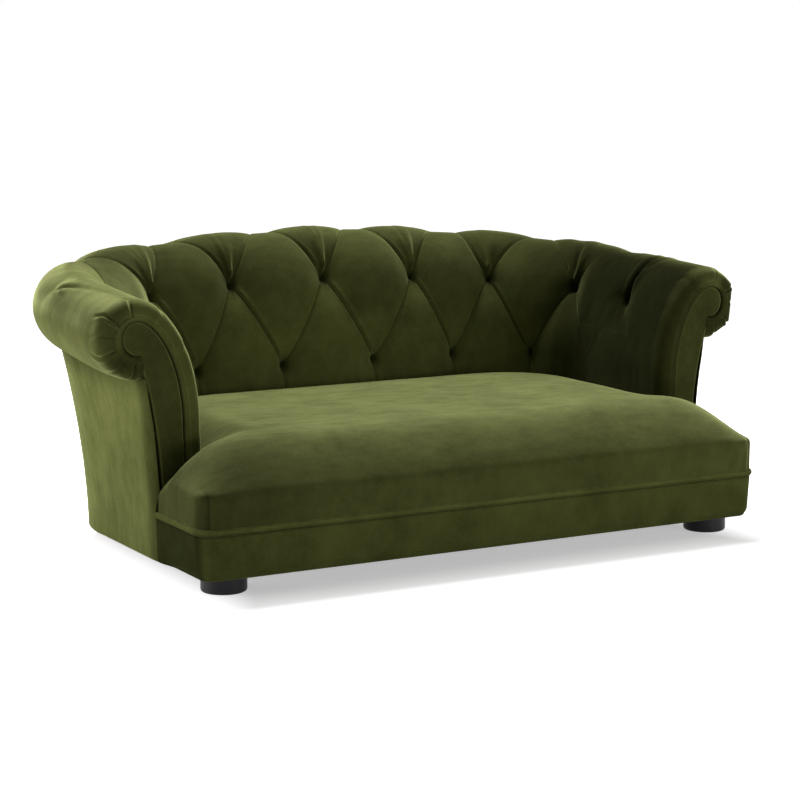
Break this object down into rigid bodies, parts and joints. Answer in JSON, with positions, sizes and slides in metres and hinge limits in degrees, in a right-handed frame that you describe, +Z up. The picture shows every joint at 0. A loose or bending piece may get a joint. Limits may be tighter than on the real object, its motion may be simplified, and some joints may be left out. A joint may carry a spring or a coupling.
{
  "type": "dog sofa bed",
  "caption": "Low scroll-arm sofa bed for a dog, with a deep-buttoned velvet wall round a crowned T-shaped seat on short round feet.",
  "frame": {"origin": "on the floor, under the middle of the sofa's outline", "axes": "+X to the sofa's right as seen from its front, along its width; +Y from the front to the back; +Z up"},
  "size_m": [1.0832, 0.6604, 0.4453],
  "materials": {
    "velvet": "olive green cotton velvet, deep soft pile",
    "foam": "cut polyurethane foam",
    "plywood": "raw birch plywood and hardboard",
    "pine": "planed raw pine",
    "foot_black": "satin black",
    "dust_cloth": "thin black nonwoven",
    "steel": "zinc plated"
  },
  "bodies": {
    "root": {"base_board": "plywood", "front_rail": "pine", "side_rail_left": "pine", "side_rail_right": "pine", "back_rail": "pine", "cross_rails": "pine", "corner_blocks": "pine", "seat_board": "plywood", "arm_former_left": "plywood", "arm_former_right": "plywood", "wall_formers": "plywood", "roll_rail": "pine", "wall_liner": "plywood", "wall_foam": "foam", "inside_back": "velvet", "inside_arm_left": "velvet", "inside_arm_right": "velvet", "tuft_washers": "steel", "arm_facing_left": "velvet", "arm_facing_right": "velvet", "outside_arm_left": "velvet", "outside_arm_right": "velvet", "outside_back": "velvet", "seat_foam": "foam", "seat_cover": "velvet", "seat_welt": "velvet", "front_border": "velvet", "dust_cover": "dust_cloth", "foot_front_left": "foot_black", "foot_front_right": "foot_black", "foot_back_left": "foot_black", "foot_back_right": "foot_black", "foot_bolts": "steel", "tee_nuts": "steel"}
  },
  "joints": []
}
